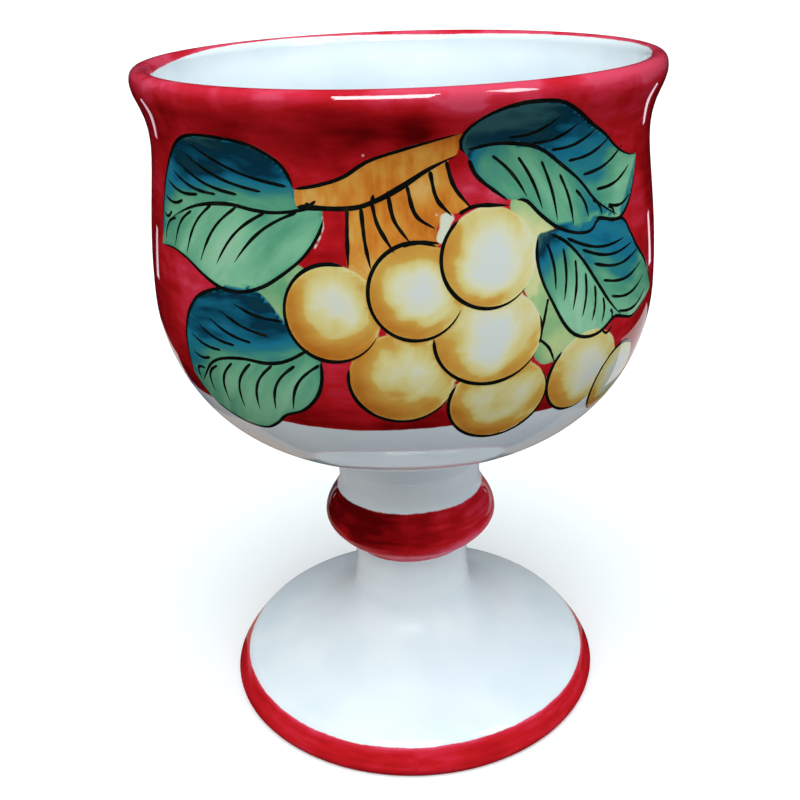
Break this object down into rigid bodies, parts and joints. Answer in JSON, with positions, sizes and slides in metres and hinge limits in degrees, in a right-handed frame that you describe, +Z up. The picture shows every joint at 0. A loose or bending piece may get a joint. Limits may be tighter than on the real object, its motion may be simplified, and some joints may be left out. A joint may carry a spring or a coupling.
{
  "type": "pottery goblet",
  "caption": "Footed pottery goblet: deep round bowl with a flared lip on a short knopped stem and a low domed hollow foot, tin glazed and painted.",
  "frame": {"origin": "centre of the foot ring on the surface that the goblet stands on", "axes": "+Z up along the wheel axis through foot, stem and bowl; -Y faces the viewer of the picture, +X to the viewer's right"},
  "size_m": [0.1, 0.1, 0.1386],
  "materials": {
    "painted_bowl": "gloss tin glaze, white inside and painted with a red ground, leaves and fruit outside",
    "painted_stem": "gloss tin glaze with a red band on the knop",
    "white_glaze": "gloss white tin glaze with a red band round the edge of the foot"
  },
  "bodies": {
    "root": {"bowl": "painted_bowl", "bowl_slip": "white_glaze", "stem": "painted_stem", "foot_slip": "white_glaze", "foot": "white_glaze"}
  },
  "joints": []
}
